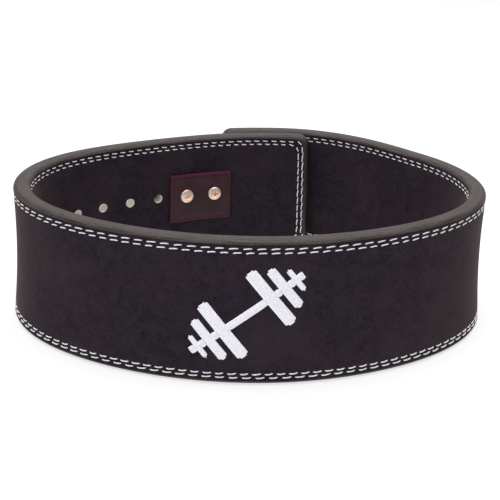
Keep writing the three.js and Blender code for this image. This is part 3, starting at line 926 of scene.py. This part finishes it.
# Strokes of the emblem: middle of one end, middle of the other, width and height of the relief
def emblemStrokes():
    length = emblem["length"]
    strokes = []
    gaps = [0.0]
    for middle, width, height in emblem["discs"]:
        gaps += [middle - width / 2, middle + width / 2]
        for side in (-1, 1):
            across = side * middle * length
            halfHeight = height * length / 2
            strokes.append(((across, -halfHeight), (across, halfHeight), width * length, emblem["relief"]))
    gaps.append(0.5)
    low = emblem["relief"] - emblem["padding"]
    strokes.append(((-gaps[1] * length, 0.0), (gaps[1] * length, 0.0), emblem["bar"], low))
    for start, end in ((2, 3), (4, 5), (6, 7)):
        for side in (-1, 1):
            ends = sorted((side * gaps[start] * length, side * gaps[end] * length))
            strokes.append(((ends[0], 0.0), (ends[1], 0.0), emblem["bar"], low))
    return strokes


# Path for a Geometry Nodes tree: runs of points with the vectors and numbers that the tree reads at each of them
def pathPiece(name, runs):
    points, outward, edges = [], [], []
    numbers = {key: [] for key in runs[0] if key not in ("points", "outward", "closed")}
    for run in runs:
        first = len(points)
        count = len(run["points"])
        points += run["points"].tolist()
        outward += run["outward"].tolist()
        edges += [(first + i, first + i + 1) for i in range(count - 1)]
        if run["closed"]:
            edges.append((first + count - 1, first))
        for key, values in numbers.items():
            values += np.broadcast_to(run[key], count).tolist()
    mesh = bpy.data.meshes.new(name)
    mesh.from_pydata(points, edges, [])
    vectors = mesh.attributes.new("outward", "FLOAT_VECTOR", "POINT")
    vectors.data.foreach_set("vector", np.array(outward, np.float32).ravel())
    for key, values in numbers.items():
        mesh.attributes.new(key, "FLOAT", "POINT").data.foreach_set("value", np.array(values, np.float32))
    piece = bpy.data.objects.new(name, mesh)
    scene.collection.objects.link(piece)
    return piece


# Starts a tree that takes a geometry, a number for each label and a seed
def startTree(name, labels):
    tree = bpy.data.node_groups.new(name, "GeometryNodeTree")
    tree.interface.new_socket("Geometry", in_out="INPUT", socket_type="NodeSocketGeometry")
    tree.interface.new_socket("Geometry", in_out="OUTPUT", socket_type="NodeSocketGeometry")
    for label in labels:
        tree.interface.new_socket(label, in_out="INPUT", socket_type="NodeSocketFloat")
    tree.interface.new_socket("Seed", in_out="INPUT", socket_type="NodeSocketInt")
    return tree, addNode(tree, "NodeGroupInput").outputs


# Runs a tree on a piece with values for its named inputs, and keeps what it gives as a plain mesh
def growPiece(piece, tree, values, sharpAngle=60.0):
    modifier = piece.modifiers.new(tree.name, "NODES")
    modifier.node_group = tree
    for socket in tree.interface.items_tree:
        if socket.in_out == "INPUT" and socket.name in values:
            modifier[socket.identifier] = values[socket.name]
    bakeModifiers(piece)
    smoothPiece(piece, sharpAngle)
    return piece


# One length of thread along X, standing in an arch whose ends go down, with the numbers that its twist reads.
# reach is half its length; the arch is flat over its middle and falls by dip at its ends.
def addThread(tree, reach, thickness, dip, flatness, bow=0.0, sides=6, steps=8):
    halfLine = addMath(tree, "MULTIPLY", reach, -1.0)
    start = addNode(tree, "ShaderNodeCombineXYZ", {"X": halfLine}).outputs[0]
    end = addNode(tree, "ShaderNodeCombineXYZ", {"X": reach}).outputs[0]
    line = addNode(tree, "GeometryNodeCurvePrimitiveLine", {"Start": start, "End": end}).outputs["Curve"]
    line = addNode(tree, "GeometryNodeResampleCurve", {"Curve": line, "Count": steps}).outputs["Curve"]
    along = addNode(tree, "GeometryNodeSplineParameter").outputs
    settings = {"Geometry": line, "Name": "threadAlong", "Value": along["Length"]}
    line = addNode(tree, "GeometryNodeStoreNamedAttribute", settings, data_type="FLOAT").outputs["Geometry"]
    fromMiddle = addMath(tree, "ABSOLUTE", addMath(tree, "MULTIPLY_ADD", along["Factor"], 2.0, -1.0))
    drop = addMath(tree, "POWER", fromMiddle, flatness)
    fall = addMath(tree, "MULTIPLY", drop, addMath(tree, "MULTIPLY", dip, -1.0))
    sideways = addMath(tree, "MULTIPLY", addMath(tree, "POWER", fromMiddle, 2.0), bow)
    offset = addNode(tree, "ShaderNodeCombineXYZ", {"Y": sideways, "Z": fall}).outputs[0]
    line = addNode(tree, "GeometryNodeSetPosition", {"Geometry": line, "Offset": offset}).outputs["Geometry"]
    taper = addMath(tree, "MULTIPLY_ADD", drop, -0.3, 1.0)
    line = addNode(tree, "GeometryNodeSetCurveRadius", {"Curve": line, "Radius": taper}).outputs["Curve"]
    radius = addMath(tree, "MULTIPLY", thickness, 0.5)
    circle = {"Resolution": sides, "Radius": radius}
    section = addNode(tree, "GeometryNodeCurvePrimitiveCircle", circle).outputs["Curve"]
    roundShare = addNode(tree, "GeometryNodeSplineParameter").outputs["Factor"]
    settings = {"Geometry": section, "Name": "threadRound", "Value": roundShare}
    section = addNode(tree, "GeometryNodeStoreNamedAttribute", settings, data_type="FLOAT").outputs["Geometry"]
    settings = {"Curve": line, "Profile Curve": section, "Fill Caps": True}
    return addNode(tree, "GeometryNodeCurveToMesh", settings).outputs["Mesh"]


def attributeAt(tree, name, kind="FLOAT"):
    return addNode(tree, "GeometryNodeInputNamedAttribute", {"Name": name}, data_type=kind).outputs["Attribute"]


# Turns an instance so that its X follows the path and its Z points out of the belt
def addFacing(tree, extraTurn=0.0):
    forward = addNode(tree, "GeometryNodeInputTangent").outputs["Tangent"]
    outward = attributeAt(tree, "outward", "FLOAT_VECTOR")
    align = "FunctionNodeAlignRotationToVector"
    facingTurn = addNode(tree, align, {"Vector": forward}, axis="X").outputs["Rotation"]
    settings = {"Rotation": facingTurn, "Vector": outward}
    facingTurn = addNode(tree, align, settings, axis="Z", pivot_axis="X").outputs["Rotation"]
    spin = addNode(tree, "ShaderNodeCombineXYZ", {"Z": extraTurn}).outputs[0]
    spin = addNode(tree, "FunctionNodeEulerToRotation", {"Euler": spin}).outputs["Rotation"]
    settings = {"Rotation": facingTurn, "Rotate By": spin}
    return addNode(tree, "FunctionNodeRotateRotation", settings, rotation_space="LOCAL").outputs["Rotation"]


def randomBetween(tree, low, high, seed, salt):
    seeded = addMath(tree, "ADD", seed, float(salt))
    made = addNode(tree, "FunctionNodeRandomValue", {"Seed": seeded}, data_type="FLOAT")
    for key, value in ((2, low), (3, high)):
        made.inputs[key].default_value = value
    return made.outputs[1]


# Ends a tree: sets a thread on its path at every spacing, with a turn and a share of its length for each
def finishTree(tree, given, spacing, thread, turn, lengthShare, material):
    curve = addNode(tree, "GeometryNodeMeshToCurve", {"Mesh": given["Geometry"]}).outputs["Curve"]
    settings = {"Curve": curve, "Length": spacing}
    curve = addNode(tree, "GeometryNodeResampleCurve", settings, mode="LENGTH").outputs["Curve"]
    scale = addNode(tree, "ShaderNodeCombineXYZ", {"X": lengthShare, "Y": 1.0, "Z": 1.0}).outputs[0]
    settings = {"Points": curve, "Instance": thread, "Rotation": addFacing(tree, turn), "Scale": scale}
    geometry = addNode(tree, "GeometryNodeInstanceOnPoints", settings).outputs["Instances"]
    geometry = addNode(tree, "GeometryNodeRealizeInstances", {"Geometry": geometry}).outputs["Geometry"]
    settings = {"Geometry": geometry, "Material": material}
    geometry = addNode(tree, "GeometryNodeSetMaterial", settings).outputs["Geometry"]
    addNode(tree, "NodeGroupOutput", {"Geometry": geometry})
    return tree


# Lockstitches along a path: short arched lengths of thread, all tilted a little, whose ends go down into
# the leather
def stitchTree():
    tree, given = startTree("sewnRow", ("Stitch length", "Thread thickness", "Dip", "Tilt"))
    reach = addMath(tree, "MULTIPLY", given["Stitch length"], 0.5)
    thread = addThread(tree, reach, given["Thread thickness"], given["Dip"], flatness=5.0, bow=sewing["bow"])
    wobble = randomBetween(tree, *sewing["tiltRange"], given["Seed"], 1)
    tilt = addMath(tree, "ADD", given["Tilt"], wobble)
    stretch = randomBetween(tree, *sewing["lengthRange"], given["Seed"], 2)
    stretch = addMath(tree, "MULTIPLY", stretch, attributeAt(tree, "stretch"))
    return finishTree(tree, given, attributeAt(tree, "pitch"), thread, tilt, stretch, threadMaterial)


# Satin stitches along a path: threads side by side across it, each as wide as the stroke is there
def satinTree():
    tree, given = startTree("satinStroke", ("Strand pitch", "Strand thickness", "Dip"))
    thread = addThread(tree, 0.5, given["Strand thickness"], given["Dip"], flatness=3.0)
    wobble = randomBetween(tree, -0.02, 0.02, given["Seed"], 1)
    turn = addMath(tree, "ADD", wobble, math.pi / 2)
    stretch = randomBetween(tree, 0.98, 1.02, given["Seed"], 2)
    width = addMath(tree, "MULTIPLY", attributeAt(tree, "strokeWidth"), stretch)
    return finishTree(tree, given, given["Strand pitch"], thread, turn, width, flossMaterial)


# Padding under the satin stitches, one crowned block for each stroke
def makeEmblemPad():
    shells = []
    for (startAlong, startUp), (endAlong, endUp), width, relief in emblemStrokes():
        half = width / 2 - 0.35
        if startAlong == endAlong:
            box = (startAlong - half, startAlong + half, startUp + 0.35, endUp - 0.35)
        else:
            box = (startAlong, endAlong, -half, half)
        foot, top = halfThickness - 0.3, halfThickness + relief - emblem["strandThickness"] * 0.6
        inset = min(half * 0.8, 2.6, (box[1] - box[0]) * 0.4)
        rounding = ((0, 0), (0.12, 0.5), (0.35, 0.8), (0.65, 0.95), (1, 1))
        rim = [(inset * share, foot + (top - foot) * rise) for share, rise in rounding]
        corner = min(1.0, inset)
        shells.append(slab(box, corner, [(inset, foot), *rim], emblemLayout, 3.0, 3.0, cornerSteps=4))
    return addPiece("emblemPad", joined(shells), [flossMaterial])


def makeEmblemThreads():
    runs = []
    for (startAlong, startUp), (endAlong, endUp), width, relief in emblemStrokes():
        length = math.hypot(endAlong - startAlong, endUp - startUp)
        shares = np.linspace(0, 1, max(3, round(length / 0.75)))
        along, up = (a + (b - a) * shares for a, b in ((startAlong, endAlong), (startUp, endUp)))
        fromEnd = np.minimum(shares, 1 - shares) * length
        missing = np.zeros_like(shares)
        if startAlong == endAlong:
            missing = np.clip(emblem["corner"] - fromEnd, 0, None)
        narrowing = 2 * (emblem["corner"] - np.sqrt(np.clip(emblem["corner"] ** 2 - missing**2, 0, None)))
        height = halfThickness + relief - emblem["strandThickness"] / 2
        placeAlong, placeUp = emblemPlace(along, up)
        runs.append(
            {
                "points": strapPoints(placeAlong, height, placeUp),
                "outward": outwardAt(placeAlong, placeUp),
                "closed": False,
                "strokeWidth": (width - narrowing) / 1000,
            }
        )
    values = {
        "Strand pitch": emblem["strandPitch"] / 1000,
        "Strand thickness": emblem["strandThickness"] / 1000,
        "Dip": (emblem["relief"] + 0.4) / 1000,
        "Seed": emblem["seed"],
    }
    return growPiece(pathPiece("emblemThreads", runs), satinTree(), values)


rideRoot(makeEmblemPad(), "white_thread", "embroidery")
rideRoot(makeEmblemThreads(), "white_thread")
print("emblem sewn")


# Both rows of stitches on one face, right round the strap
def makeStitches(name, tree):
    sewn = sewnSides[name]
    side = sewn["side"]
    nominal = sum(sewn["pitches"]) / 2
    runs = []
    for i in range(2):
        tipInset = sewing["tipInsets"][i]
        low, high = sewn["lowerInsets"][i], strap["height"] - sewing["rowInsets"][i]
        box = (tipInset, strapLength - tipInset, low, high)
        around = outlineAt(0.0, box, sewing["rowCorners"][i], np.linspace(0, 1, 700), np.linspace(0, 1, 60), 8)
        along, up = around.T
        fromEdge = np.minimum.reduce((along, strapLength - along, up, strap["height"] - up))
        out = side * np.array([suedeFaceAt(distance) + 0.1 for distance in fromEdge])
        atTip = np.minimum(along, strapLength - along) < tipInset + 0.5
        runs.append(
            {
                "points": strapPoints(along, out, up),
                "outward": side * outwardAt(along, up),
                "closed": True,
                "pitch": sewn["pitches"][i] / 1000,
                "stretch": sewn["pitches"][i] / nominal * np.where(atTip, sewing["tipStretch"], 1.0),
            }
        )
    values = {
        "Stitch length": sewn["stitchShare"] * nominal / 1000,
        "Thread thickness": sewn["thickness"] / 1000,
        "Dip": sewing["dip"] / 1000,
        "Tilt": math.radians(sewing["tilt"]) * side,
        "Seed": sewing["seed"] + side,
    }
    return growPiece(pathPiece(name, runs), tree, values)


sewnRow = stitchTree()
for name in sewnSides:
    rideRoot(makeStitches(name, sewnRow), "white_thread")
print("stitches sewn")

studio = {
    "acrylic": "#a2a2a4",
    "acrylicGlow": 0.62,
    "acrylicTooth": 2.0,
    "floorSize": 6.0,  # metres
    "floorDrop": 0.0004,  # metres that the floor stays under the belt's lower edge
    "aim": (0.0, 0.0, 0.05),  # metres, the point that the softboxes face
    "worldLight": 0.5,
    "topPower": 30.0,
    "backPower": 4.0,
    "frontPower": 7.0,
    "exposure": 0.0,
}


# Opal acrylic of a light table: matt, glowing evenly, with a very faint tooth
def makeFloor():
    material, tree, place = startMaterial("backlitOpalAcrylic")
    tooth = addNoise(tree, place, studio["acrylicTooth"])
    settings = {"Base Color": colour(studio["acrylic"]), "Roughness": 0.9, "Specular IOR Level": 0.1}
    settings |= {"Emission Color": colour("#ffffff"), "Emission Strength": studio["acrylicGlow"]}
    finishMaterial(material, settings, tooth, 0.05, 0.0001)
    half = studio["floorSize"] / 2
    mesh = bpy.data.meshes.new("floor")
    corners = ((-half, -half), (half, -half), (half, half), (-half, half))
    mesh.from_pydata([(x, y, -studio["floorDrop"]) for x, y in corners], [], [(0, 1, 2, 3)])
    mesh.materials.append(material)
    floor = bpy.data.objects.new("floor", mesh)
    scene.collection.objects.link(floor)


def addSoftbox(name, place, size, power):
    light = bpy.data.lights.new(name, "AREA")
    light.shape = "RECTANGLE"
    light.size, light.size_y = size
    light.energy = power
    box = bpy.data.objects.new(name, light)
    box.location = place
    box.rotation_euler = (Vector(studio["aim"]) - Vector(place)).to_track_quat("-Z", "Y").to_euler()
    box.visible_camera = False
    scene.collection.objects.link(box)


makeFloor()
addSoftbox("softboxTop", (0.0, 0.1, 1.5), (1.6, 1.2), studio["topPower"])
addSoftbox("softboxBack", (0.0, 1.5, 0.8), (1.8, 0.8), studio["backPower"])
addSoftbox("softboxFront", (-0.8, -1.5, 1.0), (1.4, 1.0), studio["frontPower"])
world = bpy.data.worlds.new("paleStudio")
world.use_nodes = True
background = world.node_tree.nodes["Background"].inputs
background["Color"].default_value = (1, 1, 1, 1)
background["Strength"].default_value = studio["worldLight"]
scene.world = world
scene.view_settings.view_transform = "Standard"
scene.view_settings.exposure = studio["exposure"]

view = {
    "focalPixels": 1026.46,
    "pictureWidth": 500,  # pixels
    "sensorWidth": 36.0,
    "place": (1.085, -721.098, 340.04),  # mm, before the plan is centred
    "pitch": 22.44,  # degrees down
    "roll": 1.56,
}
camera = bpy.data.objects.new("camera", bpy.data.cameras.new("camera"))
camera.data.sensor_width = view["sensorWidth"]
camera.data.lens = view["focalPixels"] * view["sensorWidth"] / view["pictureWidth"]
camera.data.clip_start, camera.data.clip_end = 0.01, 50
across, depth, height = view["place"]
cameraPlace = Vector((across + centring[0], depth + centring[1], height)) / 1000
pitchTurn = Matrix.Rotation(math.radians(90 - view["pitch"]), 4, "X")
turn = pitchTurn @ Matrix.Rotation(math.radians(view["roll"]), 4, "Z")
camera.matrix_world = Matrix.Translation(cameraPlace) @ turn
scene.collection.objects.link(camera)
scene.camera = camera
print("studio set")
